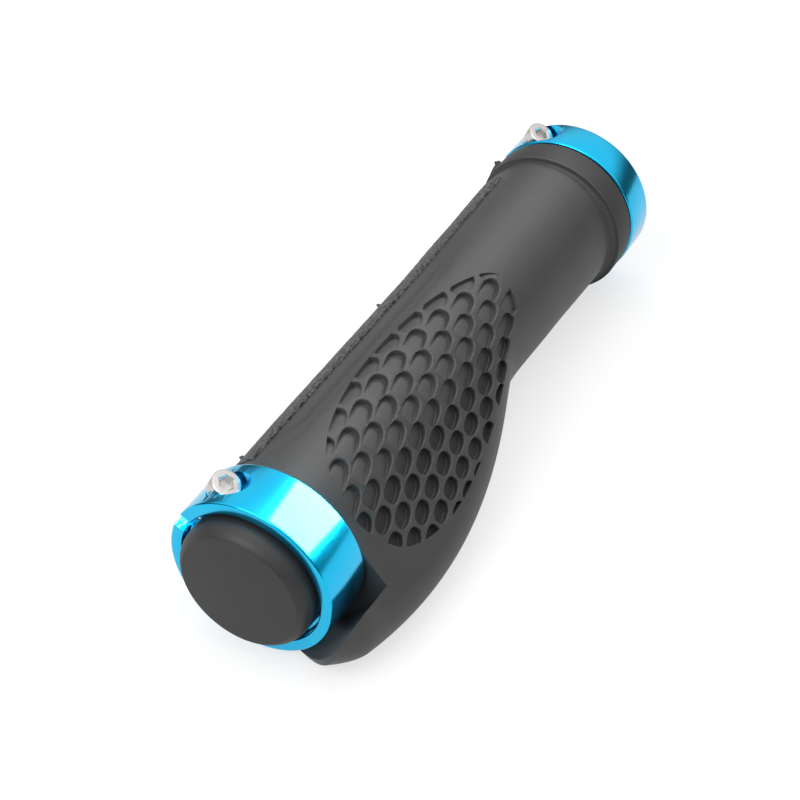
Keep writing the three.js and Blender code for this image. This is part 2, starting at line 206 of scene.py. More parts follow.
# Clamp screws: ends, seat and face are heights above the parting plane
SCREW = {
    "shank radius": 1.45,
    "thread pitch": 0.5,
    "thread depth": 0.2,
    "screw end": -6.4,
    "head seat": 6.8,
}
SCREW_OFFSET = 13.4
SCREW_HEAD_RADIUS = 2.75
SCREW_FACE = 9.8
SOCKET_FLATS = 2.5
SOCKET_DEPTH = 1.6
SOCKET_TURN = math.radians(12)
POCKET_RADIUS = SCREW_HEAD_RADIUS + 0.6
KNURLS = 36
KNURL_DEPTH = 0.12

# Studio: the camera, in metres from the middle of the outboard ring's face, then the light of the
# sky at the horizon, higher up and what the zenith adds, and the floor's
CAMERA_OFFSET = (-0.201713, -0.141731, 0.254971)
CAMERA_HEADING = math.radians(29.03)
CAMERA_TILT = math.radians(41.0935)
FOCAL_LENGTH = 2033.04  # in pixels of a picture that is IMAGE_WIDTH pixels wide
IMAGE_WIDTH = 800
SENSOR_WIDTH = 36
HORIZON_LIGHT = 0.1
SKY_LIGHT = 0.92
ZENITH_LIGHT = 0.4
FLOOR_GREY = 0.42
FLOOR_GLOW = 0.44
FLOOR_GLOW_TO_CAMERA = 0.2


class Value:
    """A number in a node tree, which Python's operators work on by adding Math nodes."""

    def __init__(self, tree, socket):
        self.tree = tree
        self.socket = socket

    def __add__(self, other):
        return self.tree.maths("ADD", self, other)

    def __radd__(self, other):
        return self.tree.maths("ADD", other, self)

    def __sub__(self, other):
        return self.tree.maths("SUBTRACT", self, other)

    def __rsub__(self, other):
        return self.tree.maths("SUBTRACT", other, self)

    def __mul__(self, other):
        return self.tree.maths("MULTIPLY", self, other)

    def __rmul__(self, other):
        return self.tree.maths("MULTIPLY", other, self)

    def __truediv__(self, other):
        return self.tree.maths("DIVIDE", self, other)

    def __rtruediv__(self, other):
        return self.tree.maths("DIVIDE", other, self)

    def __pow__(self, other):
        return self.tree.maths("POWER", self, other)

    def __neg__(self):
        return self.tree.maths("MULTIPLY", self, -1.0)


def either(operation, plain):
    """A function that works on plain numbers and on the values of a node tree alike."""

    def apply(*numbers):
        values = [number for number in numbers if isinstance(number, Value)]
        return values[0].tree.maths(operation, *numbers) if values else plain(*numbers)

    return apply


cosine = either("COSINE", math.cos)
sine = either("SINE", math.sin)
arc_cosine = either("ARCCOSINE", math.acos)
arc_tangent = either("ARCTAN2", math.atan2)
root = either("SQRT", math.sqrt)
larger = either("MAXIMUM", max)
smaller = either("MINIMUM", min)
whole_part = either("FLOOR", math.floor)
size_of = either("ABSOLUTE", abs)
above = either("GREATER_THAN", lambda a, b: float(a > b))


def between(low, high, share):
    return low + (high - low) * share


def choose(test, if_true, if_false):
    return if_false + test * (if_true - if_false)


def capped(share):
    return smaller(larger(share, 0.0), 1.0)


def ease(share):
    return (1 - cosine(capped(share) * math.pi)) / 2


def diagonal(a, b):
    return root(a * a + b * b)


class Tree:
    """Adds nodes to a node tree."""

    def __init__(self, nodes):
        self.nodes = nodes

    def node(self, kind, settings=None, sockets=None):
        """One node: its settings first, then the values or links of its sockets."""
        node = self.nodes.nodes.new(kind)
        for name, value in (settings or {}).items():
            setattr(node, name, value)
        for name, value in (sockets or {}).items():
            for source in value if isinstance(value, list) else [value]:
                source = source.socket if isinstance(source, Value) else source
                if isinstance(source, bpy.types.NodeSocket):
                    self.nodes.links.new(source, node.inputs[name])
                else:
                    node.inputs[name].default_value = source
        return node

    def maths(self, operation, *numbers):
        node = self.node("ShaderNodeMath", {"operation": operation}, dict(enumerate(numbers)))
        return Value(self, node.outputs[0])

    def parts(self, vector):
        split = self.node("ShaderNodeSeparateXYZ", sockets={0: vector})
        return [Value(self, output) for output in split.outputs]

    def joined(self, x, y, z):
        return self.node("ShaderNodeCombineXYZ", sockets={0: x, 1: y, 2: z}).outputs[0]


class Shape(Tree):
    """A Geometry Nodes tree with a named input for each of its sizes."""

    def __init__(self, name, sizes):
        super().__init__(bpy.data.node_groups.new(name, "GeometryNodeTree"))
        self.sizes = sizes
        face = self.nodes.interface
        face.new_socket("Geometry", in_out="INPUT", socket_type="NodeSocketGeometry")
        face.new_socket("Geometry", in_out="OUTPUT", socket_type="NodeSocketGeometry")
        for size, default in sizes.items():
            face.new_socket(size, in_out="INPUT", socket_type="NodeSocketFloat").default_value = default
        inputs = self.node("NodeGroupInput")
        self.start = inputs.outputs["Geometry"]
        self.size = {size: Value(self, inputs.outputs[size]) for size in sizes}

    def position(self):
        return self.parts(self.node("GeometryNodeInputPosition").outputs[0])

    def moved(self, geometry, x, y, z):
        sockets = {"Geometry": geometry, "Position": self.joined(x, y, z)}
        return self.node("GeometryNodeSetPosition", sockets=sockets).outputs[0]

    def named(self, name):
        return Value(self, self.node("GeometryNodeInputNamedAttribute", sockets={"Name": name}).outputs[0])

    def marked(self, geometry, name, value, domain="POINT"):
        sockets = {"Geometry": geometry, "Name": name, "Value": value}
        return self.node("GeometryNodeStoreNamedAttribute", {"domain": domain}, sockets).outputs[0]

    def finish(self, geometry, material):
        """Ends the tree, and returns it."""
        real = self.node("GeometryNodeRealizeInstances", sockets={"Geometry": geometry}).outputs[0]
        faced = self.node("GeometryNodeSetMaterial", sockets={"Geometry": real, "Material": material})
        self.node("NodeGroupOutput", sockets={"Geometry": faced.outputs[0]})
        return self


# The rubber's skin, as a rule that plain numbers and trees both follow

def barrel_radius(size, station):
    radius = size["shoulder radius"]
    for (name, start), (next_name, end) in zip(BARREL_STATIONS, BARREL_STATIONS[1:]):
        radius = radius + (size[next_name] - size[name]) * ease((station - start) / (end - start))
    return radius


def section(size, station, offset=0.0):
    """The barrel's circle and the wing tip's, joined by their common tangents."""
    barrel = barrel_radius(size, station)
    crest = size["wing reach"] + size["barrel shift"]
    share = (station - size["wing crest station"]) / (size["wing end station"] - size["wing crest station"])
    drop_length = size["blade drop start"] + size["blade overhang"]
    to_end = larger((size["blade drop start"] - station) / drop_length, 0.0)
    drop = size["blade drop"] * to_end ** size["blade drop curve"]
    rise = crest - (crest - barrel) * share * share - drop - barrel
    reach = barrel + (rise + diagonal(rise, size["wing end blend"])) / 2
    strength = capped((reach - barrel) / (crest - barrel))
    flare_length = size["blade flare length"] + size["blade overhang"]
    to_blade_end = larger(1 - (station + size["blade overhang"]) / flare_length, 0.0)
    plain_tip = between(barrel, size["wing tip radius"], strength)
    tip = between(plain_tip, size["blade tip radius"], to_blade_end ** size["blade flare curve"])
    distance = reach - tip
    tangent = arc_cosine(smaller(larger((barrel - tip) / distance, -1.0), 1.0))
    core = barrel + offset
    return {
        "core": core,
        "nose": tip + offset,
        "distance": distance,
        "tangent": tangent,
        "flat": distance * sine(tangent),
        "crown arc": core * (math.pi / 2 - tangent),
        "to blade end": to_blade_end,
        "shift": size["barrel shift"],
    }


def girth_to_tip(cut):
    return cut["crown arc"] + cut["flat"] + cut["nose"] * cut["tangent"]


def skin(cut, girth):
    """A point on the skin's upper side: how far out and up it is, and its normal out and up."""
    beyond = girth - cut["crown arc"]
    on_nose = above(beyond, cut["flat"])
    on_flat = above(beyond, 0.0) * (1 - on_nose)
    angle = choose(on_flat, cut["tangent"], math.pi / 2 - girth / cut["core"])
    angle = choose(on_nose, cut["tangent"] - (beyond - cut["flat"]) / cut["nose"], angle)
    normal_out, normal_up = cosine(angle), sine(angle)
    radius = choose(on_nose, cut["nose"], cut["core"])
    centre = on_nose * cut["distance"] - cut["shift"]
    along = on_flat * beyond
    out = centre + radius * normal_out + along * normal_up
    up = radius * normal_up - along * normal_out
    return out, up, normal_out, normal_up


def girth_at_angle(cut, angle):
    on_barrel = above(angle, cut["tangent"])
    return choose(on_barrel, cut["core"] * (math.pi / 2 - angle), girth_to_tip(cut) - cut["nose"] * angle)


def roll_to_rest():
    """How far the grip is rolled, so that it lies on its rings and its wing."""
    crest = section(SKIN, SKIN["wing crest station"], PANEL["panel rise"])
    return math.asin((RING_RADIUS - crest["nose"]) / (crest["distance"] - crest["shift"]))


def resting_place():
    """The matrix from the grip's frame, in millimetres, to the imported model's."""
    low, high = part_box("outboard_clamp")
    middle = (low + high) / 2
    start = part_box("end_plug")[0].x + PLUG_OVERHANG * MM
    move = Matrix.Translation((start, middle.y, middle.z))
    return move @ Matrix.Rotation(roll_to_rest(), 4, "X") @ Matrix.Scale(MM, 4)


PLACE = resting_place()


# Making meshes

def linked(name, mesh):
    body = bpy.data.objects.new(name, mesh)
    bpy.context.scene.collection.objects.link(body)
    return body


def mesh_body(name, points, faces):
    """A closed body, its faces turned outwards."""
    mesh = bpy.data.meshes.new(name)
    mesh.from_pydata([tuple(point) for point in points], [], faces)
    shell = bmesh.new()
    shell.from_mesh(mesh)
    bmesh.ops.recalc_face_normals(shell, faces=shell.faces)
    shell.to_mesh(mesh)
    shell.free()
    return linked(name, mesh)


def rounded(outline, steps=4):
    """The corners (x, y, rounding) of a closed outline, each drawn as an arc of that radius."""
    points = []
    for i, (x, y, rounding) in enumerate(outline):
        corner = Vector((x, y, 0))
        if rounding == 0:
            points.append((x, y))
            continue
        back = (Vector((*outline[i - 1][:2], 0)) - corner).normalized()
        onward = (Vector((*outline[(i + 1) % len(outline)][:2], 0)) - corner).normalized()
        half = back.angle(onward) / 2
        centre = corner + (back + onward).normalized() * (rounding / math.sin(half))
        first = corner + back * (rounding / math.tan(half)) - centre
        last = corner + onward * (rounding / math.tan(half)) - centre
        for step in range(steps + 1):
            arm = first.slerp(last, step / steps) * rounding
            points.append(tuple((centre + arm.normalized() * rounding)[:2]))
    return points


def turned(name, outline, segments=192):
    """A body turned about the bar's axis, from a closed outline of (radius, station) points."""
    points = []
    rings = []
    for radius, station in outline:
        count = 1 if radius == 0 else segments
        rings.append(range(len(points), len(points) + count))
        for step in range(count):
            angle = TURN * step / segments
            points.append((station, radius * math.cos(angle), radius * math.sin(angle)))
    faces = []
    for here, there in zip(rings, rings[1:] + rings[:1]):
        if len(here) == 1 and len(there) == 1:
            continue
        for step in range(segments):
            after = (step + 1) % segments
            corners = [here[step % len(here)], here[after % len(here)]]
            corners += [there[after % len(there)], there[step % len(there)]]
            faces.append(list(dict.fromkeys(corners)))
    return mesh_body(name, points, faces)


def upright(name, outline, segments=96):
    """A body turned about Z, from a closed outline of (radius, height) points."""
    body = turned(name, outline, segments)
    body.data.transform(Matrix.Rotation(-math.pi / 2, 4, "Y"))
    return body


def rod(name, radius, start, end, segments=192):
    return turned(name, [(0, start), (radius, start), (radius, end), (0, end)], segments)


def prism(name, outline, half_height):
    """An upright prism on a closed outline, as far below z = 0 as above it."""
    n = len(outline)
    points = [(x, y, level) for level in (-half_height, half_height) for x, y in outline]
    walls = [(i, (i + 1) % n, n + (i + 1) % n, n + i) for i in range(n)]
    return mesh_body(name, points, [tuple(range(n)), tuple(range(n, 2 * n))] + walls)


def block(name, low, high):
    corners = [(x, y, z) for x in (low[0], high[0]) for y in (low[1], high[1]) for z in (low[2], high[2])]
    faces = [(0, 1, 3, 2), (4, 6, 7, 5), (0, 4, 5, 1), (2, 3, 7, 6), (0, 2, 6, 4), (1, 5, 7, 3)]
    return mesh_body(name, corners, faces)


def combined(body, operation, *tools):
    """Adds one Boolean step for each tool to the body."""
    for tool in tools:
        step = body.modifiers.new(operation, "BOOLEAN")
        step.operation = operation
        step.solver = "MANIFOLD"
        step.object = tool
    return body


def follows(body, tree, extra=None):
    """Adds a Geometry Nodes step to the body, with its inputs set by their identifiers."""
    step = body.modifiers.new(tree.nodes.name, "NODES")
    step.node_group = tree.nodes
    for item in tree.nodes.interface.items_tree:
        if item.in_out == "INPUT" and item.name in tree.sizes:
            step[item.identifier] = float(tree.sizes[item.name])
        if extra and item.name in extra:
            step[item.identifier] = extra[item.name]
    return body


def settled(body, tools=()):
    """Turns what the body's steps make into its plain mesh, and removes the steps and tools."""
    bpy.context.view_layer.update()
    made = body.evaluated_get(bpy.context.evaluated_depsgraph_get())
    mesh = bpy.data.meshes.new_from_object(made)
    body.modifiers.clear()
    body.data = mesh
    for tool in tools:
        bpy.data.objects.remove(tool)
    return body


def finished(name, body, material, nodes, smooth_under=40):
    """Puts a body in its place as a piece of the grip."""
    body.name = name
    body.data.name = name
    body.data.transform(PLACE)
    if material:
        body.data.materials.clear()
        body.data.materials.append(material)
    body.data.shade_smooth()
    body.data.set_sharp_from_angle(angle=math.radians(smooth_under))
    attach(body, "root")
    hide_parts(*nodes)
    return body


# Finishes

class Finish(Tree):
    """A material, with its pattern on the piece's own coordinates in millimetres."""

    def __init__(self, name):
        self.material = bpy.data.materials.new(name)
        self.material.use_nodes = True
        super().__init__(self.material.node_tree)
        self.nodes.nodes.clear()
        self.place = self.node("ShaderNodeTexCoord").outputs["Object"]

    def noise(self, size, detail=2.0, stretch=(1, 1, 1)):
        """Noise about 0.5, whose lumps are about so many millimetres across."""
        scale = tuple(1 / (size * MM * part) for part in stretch)
        sockets = {"Vector": self.place, "Scale": scale}
        spread = self.node("ShaderNodeMapping", {"vector_type": "POINT"}, sockets)
        sockets = {"Vector": spread.outputs[0], "Scale": 1.0, "Detail": detail}
        return Value(self, self.node("ShaderNodeTexNoise", sockets=sockets).outputs[0])

    def lines(self, across, size, detail=1.0):
        """Noise that changes in one direction only, given by a value in millimetres."""
        sockets = {"W": across / size, "Scale": 1.0, "Detail": detail}
        return Value(self, self.node("ShaderNodeTexNoise", {"noise_dimensions": "1D"}, sockets).outputs[0])

    def attribute(self, name):
        return Value(self, self.node("ShaderNodeAttribute", {"attribute_name": name}).outputs["Fac"])

    def colours(self, share, first, second):
        sockets = {"Factor": share, "A": (*first, 1), "B": (*second, 1)}
        mix = self.node("ShaderNodeMix", {"data_type": "RGBA"})
        for name, value in sockets.items():
            socket = next(s for s in mix.inputs if s.name == name and s.enabled)
            if isinstance(value, Value):
                self.nodes.links.new(value.socket, socket)
            else:
                socket.default_value = value
        return next(s for s in mix.outputs if s.enabled)

    def finish(self, colour, roughness, height=None, height_scale=0.05, **uniform):
        """Ends the material: height is in shares of height_scale, in millimetres."""
        sockets = {"Base Color": colour, "Roughness": roughness, **uniform}
        if height is not None:
            bump = self.node("ShaderNodeBump", sockets={"Height": height, "Distance": height_scale * MM})
            sockets["Normal"] = bump.outputs[0]
        shader = self.node("ShaderNodeBsdfPrincipled", sockets=sockets)
        self.node("ShaderNodeOutputMaterial", sockets={"Surface": shader.outputs[0]})
        return self.material

    def from_axis(self):
        """The station along the bar and the distance from its axis, in millimetres."""
        x, y, z = self.parts(self.place)
        axis = PLACE.translation
        return (x - axis.x) / MM, diagonal(y - axis.y, z - axis.z) / MM


def grey(level):
    """A linear grey from its 0 to 255 screen level."""
    share = level / 255
    return (((share + 0.055) / 1.055) ** 2.4,) * 3


def rubber_finish():
    """Moulded rubber: matt and finely grained, speckled on the panel, with turned lines on the collar, and
    painted sheen and painted shade in the recess floors.
    """
    finish = Finish("moulded_rubber")
    station, radius = finish.from_axis()
    on_collar = above(station, COLLAR_START + 0.2) * above(radius, COLLAR_RADIUS - 0.6)
    cloudy = finish.noise(9, 3)
    fine = finish.noise(0.35, 3)
    specks = finish.noise(0.6, 1)
    recess = finish.attribute("recess")
    grain = finish.attribute("grain")
    # The recess term is painted light: a painted sheen on the crown's recess floors and painted shade on
    # the flank's
    share = cloudy * 0.3 + fine * 0.5 + recess * 0.4 - on_collar * 0.4
    share = share + grain * ((specks - 0.5) * 7 + 0.1)
    colour = finish.colours(capped(share * 0.5 + 0.25), grey(23), grey(90))
    roughness = 0.42 + fine * 0.08 + on_collar * 0.1 + grain * 0.1
    turning = finish.lines(station, 0.3) * on_collar * 0.5
    height = fine + finish.noise(0.12, 2) * (0.4 + grain) + specks * grain * 4 + turning
    return finish.finish(colour, roughness, height, 0.012, **{"Specular IOR Level": 0.5})


def anodised_finish():
    """Blue anodised aluminium, with the fine rings that the lathe leaves."""
    finish = Finish("blue_anodised_aluminium")
    station, radius = finish.from_axis()
    rings = finish.lines(station, 0.11) + finish.lines(radius, 0.13)
    patches = finish.noise(7, 2)
    colour = finish.colours(patches, (0.002, 0.52, 0.9), (0.006, 0.6, 0.97))
    speckle = finish.noise(0.35, 1)
    roughness = 0.15 + speckle * 0.08
    coat = {"Coat Weight": 1.0, "Coat Roughness": 0.11, "Coat IOR": 1.24}
    return finish.finish(colour, roughness, rings * 0.3 + speckle, 0.008, Metallic=1.0, **coat)


def steel_finish():
    """Bright screw steel with light turning marks."""
    finish = Finish("bright_screw_steel")
    station, radius = finish.from_axis()
    marks = finish.noise(0.25, 2) + finish.lines(station, 0.2)
    colour = finish.colours(finish.noise(1.2, 2), (0.66, 0.63, 0.6), (0.84, 0.82, 0.8))
    return finish.finish(colour, 0.2 + marks * 0.1, marks, 0.003, Metallic=1.0)


def plug_finish():
    """Moulded plug plastic: dark, with an even fine grain."""
    finish = Finish("moulded_plug_plastic")
    grain = finish.noise(0.3, 2)
    colour = finish.colours(finish.noise(5, 3) * 0.7 + grain * 0.3, grey(38), grey(52))
    return finish.finish(colour, 0.4 + grain * 0.16, grain, 0.012)


def sleeve_finish():
    """Hard black sleeve plastic, slightly streaked along the bar."""
    finish = Finish("black_sleeve_plastic")
    streaks = finish.noise(1.5, 3, (12, 1, 1))
    colour = finish.colours(streaks, grey(26), grey(40))
    return finish.finish(colour, 0.3 + streaks * 0.2, streaks, 0.01)


# Rubber

def skin_tree(material):
    """The skin, from the blade's end to under the collar, as a loft of the section's rule."""
    tree = Shape("rubber_skin", SKIN)
    size = tree.size
    start, end = -SKIN["blade overhang"], SLEEVE_END
    sockets = {"Vertices": 184, "Side Segments": 250, "Fill Segments": 1, "Radius": 1.0, "Depth": 1.0}
    drum = tree.node("GeometryNodeMeshCylinder", {"fill_type": "TRIANGLE_FAN"}, sockets).outputs["Mesh"]
    x, y, z = tree.position()
    station = between(start, end, z + 0.5)
    off_axis = above(diagonal(x, y), 0.5)
    angle = arc_tangent(y, x)
    side = tree.maths("SIGN", angle)
    cut = section(size, station)
    to_tip = girth_to_tip(cut)
    whole = to_tip + cut["core"] * (math.pi / 2)
    from_tip = larger(1 - size_of(angle) / math.pi, 0.0)
    out, up, normal_out, normal_up = skin(cut, to_tip - whole * from_tip ** SKIN_BUNCHING)
    leaning = (arc_tangent(normal_up, normal_out) - CHANNEL["angle"]) / CHANNEL["spread"]
    beside = ease(1 - size_of(leaning)) * above(side, 0.0)
    fade_in = ease((station - CHANNEL["start"]) / CHANNEL["start blend"])
    fade_out = ease((CHANNEL["end"] - station) / CHANNEL["end blend"])
    sunk = beside * fade_in * fade_out * CHANNEL["depth"]
    out, up = out - normal_out * sunk, up - normal_up * sunk
    height = up * side * off_axis
    bowed = size["blade rounding"] * height * height - size["blade slant"] * height
    drawn_back = cut["to blade end"] * bowed
    return tree.finish(tree.moved(drum, station + drawn_back, -out * off_axis, height), material)


def panel_tree(material):
    """The grain panel: a blanket with a rough face, from high on the back to the wing's rim."""
    tree = Shape("grain_panel", {**SKIN, **PANEL})
    size = tree.size
    sockets = {"Vertices X": 256, "Vertices Y": 112, "Vertices Z": 2}
    sheet = tree.node("GeometryNodeMeshCube", None, sockets).outputs["Mesh"]
    x, y, z = tree.position()
    share_along, share_round = x + 0.5, y + 0.5
    on_face = above(z, 0.0)
    middle = section(size, between(size["panel start"], size["panel end"], share_along))
    top = girth_at_angle(middle, size["panel top angle"])
    back = middle["core"] * (-math.pi / 2)
    length = top + girth_at_angle(middle, size["panel rim angle"]) - back * 2
    along = share_round * length
    corner = size["panel corner"]
    edge = smaller(smaller(along, length - along), corner)
    inset = corner - root(larger(corner * corner - (corner - edge) * (corner - edge), 0.0))
    station = between(size["panel start"], size["panel end"] - inset, share_along)
    cut = section(size, station)
    on_top = above(top - back, along)
    girth = choose(on_top, top - along, back + along - (top - back))
    side = on_top * 2 - 1
    out, up, normal_out, normal_up = skin(cut, girth)
    to_ends = smaller(station - size["panel start"], size["panel end"] - inset - station)
    from_edge = capped(smaller(edge, to_ends) / PANEL_EDGE)
    place = tree.joined(station, out, up * side)
    sockets = {"Vector": place, "Scale": 1 / size["grain size"], "Detail": 1.0}
    lumps = Value(tree, tree.node("ShaderNodeTexNoise", sockets=sockets).outputs[0])
    grain = smaller((lumps - size["grain level"]) * size["grain slope"], 0.0)
    face = size["panel rise"] * (0.5 + from_edge * 0.5) + grain * size["grain height"] * from_edge
    level = choose(on_face, face, size["panel root"] * -1)
    shaped = tree.moved(sheet, station, -(out + normal_out * level), side * (up + normal_up * level))
    return tree.finish(tree.marked(shaped, "grain", 1.0, "FACE"), material)


def patch_prism():
    """The recessed patch's outline as a smooth closed curve, drawn as a flat prism."""
    count = len(PATCH_OUTLINE)
    smooth = []
    for i in range(count):
        a, b, c, d = (Vector(PATCH_OUTLINE[(i + k) % count]) for k in (-1, 0, 1, 2))
        square, cube = a * 2 - b * 5 + c * 4 - d, b * 3 - a - c * 3 + d
        for step in range(6):
            t = step / 6
            point = (b * 2 + (c - a) * t + square * t ** 2 + cube * t ** 3) / 2
            smooth.append((point.x, -point.y))
    return prism("patch", smooth, 3)


def scale_cutters(tree, parity, patch):
    """Every second arc of recesses, as cutters bent on to the skin."""
    size = tree.size
    count = SCALE_COLUMNS * ((SCALE_ARCS + 1 - parity) // 2)
    points = tree.node("GeometryNodePoints", sockets={"Count": count}).outputs[0]
    index = Value(tree, tree.node("GeometryNodeInputIndex").outputs[0])
    row = whole_part((index + 0.5) / SCALE_COLUMNS)
    points = tree.marked(points, "arc", row * 2 + parity)
    points = tree.marked(points, "step", index - row * SCALE_COLUMNS - SCALE_COLUMNS / 2)
    sockets = {"Vertices": 40, "Side Segments": 8, "Fill Segments": 5, "Radius": 1.0, "Depth": 1.0}
    drum = tree.node("GeometryNodeMeshCylinder", {"fill_type": "TRIANGLE_FAN"}, sockets).outputs["Mesh"]
    sockets = {"Points": points, "Instance": drum}
    spread = tree.node("GeometryNodeInstanceOnPoints", sockets=sockets).outputs[0]
    real = tree.node("GeometryNodeRealizeInstances", sockets={"Geometry": spread}).outputs[0]
    flat = tree.moved(real, *flat_cutter(tree))
    clipped = tree.node("GeometryNodeMeshBoolean", {"operation": "INTERSECT", "solver": "MANIFOLD"},
                        {"Mesh 2": [flat, patch]}).outputs[0]
    area = Value(tree, tree.node("GeometryNodeInputMeshFaceArea").outputs[0])
    x, y, z = tree.position()
    island = tree.node("GeometryNodeInputMeshIsland").outputs["Island Index"]
    sockets = {"Value": area, "Group ID": island}
    total = tree.node("GeometryNodeAccumulateField", {"domain": "FACE"}, sockets)
    small = above(size["smallest area"] * 6, Value(tree, total.outputs["Total"]))
    kept = tree.node("GeometryNodeDeleteGeometry", {"domain": "FACE"},
                     {"Geometry": clipped, "Selection": small}).outputs[0]
    flank = ease((-y - size["flank start"]) / (size["flank end"] - size["flank start"]))
    # The recess attribute paints light: paler floors on the crown as a painted sheen, darker floors on the
    # wing's flank as painted shade
    painted_light_floors = tree.marked(kept, "recess", between(CROWN_PAINTED_SHEEN, FLANK_PAINTED_SHADE, flank), "FACE")
    station = x + size["scale station"]
    out, up, normal_out, normal_up = skin(section(size, station), -y)
    return tree.moved(painted_light_floors, station, -(out + normal_out * z), up + normal_up * z)


def flat_cutter(tree):
    """Where a unit drum's vertex lies on a cutter laid out flat.

    Of the eight segments up its side, three draw the floor's fillet, two the wall, two the lip
    and one what stands above the skin.
    """
    size = tree.size
    arc, step = tree.named("arc"), tree.named("step")
    x, y, z = tree.position()
    y = -y
    radius = size["arc radius"] - arc * size["arc spacing"]
    pitch = size["scale pitch"] / size["arc radius"]
    phase = size["scale phase"] + (arc / 2 - whole_part(arc / 2))
    angle = (step + phase) * pitch
    half_length = size["scale length"] * pitch * radius / 2
    half_width = (size["scale width"] - size["width taper"] * arc) / 2
    centre_x = radius * sine(angle)
    centre_y = size["first arc girth"] + size["arc radius"] - radius * cosine(angle)
    tilt = size["tilt"] + size["fanning"] * angle

    share = smaller(diagonal(x, y), 1.0)
    direction = arc_tangent(y, x)
    c, s = cosine(direction), sine(direction)
    flank = ease((centre_y - size["flank start"]) / (size["flank end"] - size["flank start"]))
    on_leg = above(0.0, c) * (1 - flank)
    square = between(size["roundness"], size["leg straightness"], on_leg)
    bulge = (size_of(c) ** square + size_of(s) ** square) ** (-1 / square)
    slope = between(CROWN_FLOOR["first across"], CROWN_FLOOR["across"], capped(arc))
    groove = CROWN_FLOOR["groove"] * capped(c + 0.9) * share ** 4

    def depth_at(along, across):
        crown = CROWN_FLOOR["middle"] + along * CROWN_FLOOR["along"] + across * slope + groove
        side = FLANK_FLOOR["middle"] + along * FLANK_FLOOR["along"] + across * FLANK_FLOOR["across"]
        return size["depth"] * between(crown, side, flank)

    segment = (z + 0.5) * 8
    fillet_turn = capped(segment / 3) * (math.pi / 2)
    wall = capped((segment - 3) / 2)
    lip_turn = capped((segment - 5) / 2) * (math.pi / 3)
    top = capped(segment - 7)
    edge_depth = depth_at(c * bulge * share, s * bulge * share)
    scale = capped(edge_depth / (size["lip"] + size["floor fillet"]))
    fillet, lip = size["floor fillet"] * scale, size["lip"] * scale
    inset = fillet * (1 - sine(fillet_turn)) * above(share, 0.9) - lip * (1 - cosine(lip_turn)) - top * 0.2
    wall_height = larger(edge_depth - fillet - lip, 0.0)
    level = fillet * (1 - cosine(fillet_turn)) + wall_height * wall + lip * sine(lip_turn) - edge_depth
    ceiling = larger(0.1 - edge_depth, 0.12)
    level = choose(top, ceiling, level)
    along = (half_length * bulge * share - inset) * c
    across = (half_width * bulge * share - inset) * s
    place_x = centre_x + along * cosine(tilt) - across * sine(tilt)
    place_y = centre_y + along * sine(tilt) + across * cosine(tilt)
    return place_x, -place_y, level


def scale_tree(material, patch):
    """Cuts the scale recesses into the skin, their floors marked with painted sheen and painted shade."""
    tree = Shape("scale_recesses", {**SKIN, **SCALES})
    info = tree.node("GeometryNodeObjectInfo", {"transform_space": "ORIGINAL"}, {"Object": patch})
    body = tree.marked(tree.start, "recess", 0.0, "FACE")
    for parity in (0, 1):
        cutters = scale_cutters(tree, parity, info.outputs["Geometry"])
        body = tree.node("GeometryNodeMeshBoolean", {"operation": "DIFFERENCE", "solver": "MANIFOLD"},
                         {"Mesh 1": body, "Mesh 2": cutters}).outputs[0]
    return tree.finish(body, material)


def collar_body():
    """The turned collar against the inboard ring, rounded into the barrel."""
    neck = barrel_radius(SKIN, COLLAR_START)
    outline = [
        (RUBBER_BORE, COLLAR_START - 2, 0), (neck - 0.3, COLLAR_START - 2, 0),
        (neck, COLLAR_START, COLLAR_FILLET), (COLLAR_RADIUS, COLLAR_START, 0.18),
        (COLLAR_RADIUS, SLEEVE_END, 0.3), (RUBBER_BORE, SLEEVE_END, 0),
    ]
    return turned("collar", rounded(outline))


def collar_step(neck):
    """What is cut from the lower half of the collar's front."""
    inner, outer = neck + COLLAR_FILLET, COLLAR_RADIUS + 1
    front, back = COLLAR_START - 0.5, COLLAR_START + 0.9
    step = turned("collar_step", [(inner, front), (outer, front), (outer, back), (inner, back)])
    below = block("below", (COLLAR_START - 2, -FAR, -FAR), (COLLAR_START + 4, FAR, 0))
    return settled(combined(step, "INTERSECT", below), [below])


def flash():
    """The thin flash that the mould leaves on its parting plane: nibs, and a fin on the collar."""
    fins = []
    for station, radius, height, width in FLASH_NIBS:
        fins.append([(station - width, radius - 1), (station - width * 0.3, radius + height),
                     (station + width * 0.2, radius + height * 0.8), (station + width, radius - 1)])
    fins.append([(COLLAR_START, 15.5), (COLLAR_START + 0.3, COLLAR_RADIUS), (COLLAR_START + 2.6, 16.8),
                 (SLEEVE_END - 0.5, 17.2), (SLEEVE_END - 0.2, 16.7), (SLEEVE_END - 0.2, 15.5)])
    return [prism(f"flash_{number}", fin, FLASH_HALF_THICKNESS) for number, fin in enumerate(fins)]


def rubber_grip(material):
    """The rubber: skin, panel, collar and flash in one, then its cuts and recesses."""
    body = follows(linked("rubber", bpy.data.meshes.new("rubber")), skin_tree(material))
    settled(body)
    panel = settled(follows(linked("panel", bpy.data.meshes.new("panel")), panel_tree(material)))
    collar = collar_body()
    step = collar_step(barrel_radius(SKIN, COLLAR_START))
    bore = rod("bore", RUBBER_BORE, -FAR, SLEEVE_END + SEAT_GAP)
    notch = rod("notch", NOTCH_RADIUS, -FAR, RUBBER_START, 320)
    notch.data.transform(Matrix.Translation((0, NOTCH_RADIUS - RING_RADIUS - NOTCH_GAP, NOTCH_LIFT)))
    fins = flash()
    combined(body, "UNION", panel, collar, *fins)
    combined(body, "DIFFERENCE", step, bore, notch)
    patch = patch_prism()
    follows(body, scale_tree(material, patch))
    settled(body, [panel, collar, step, bore, notch, patch, *fins])
    return finished("rubber_body", body, None, ["rubber_grip"])


# Sleeve, rings, screws and plug

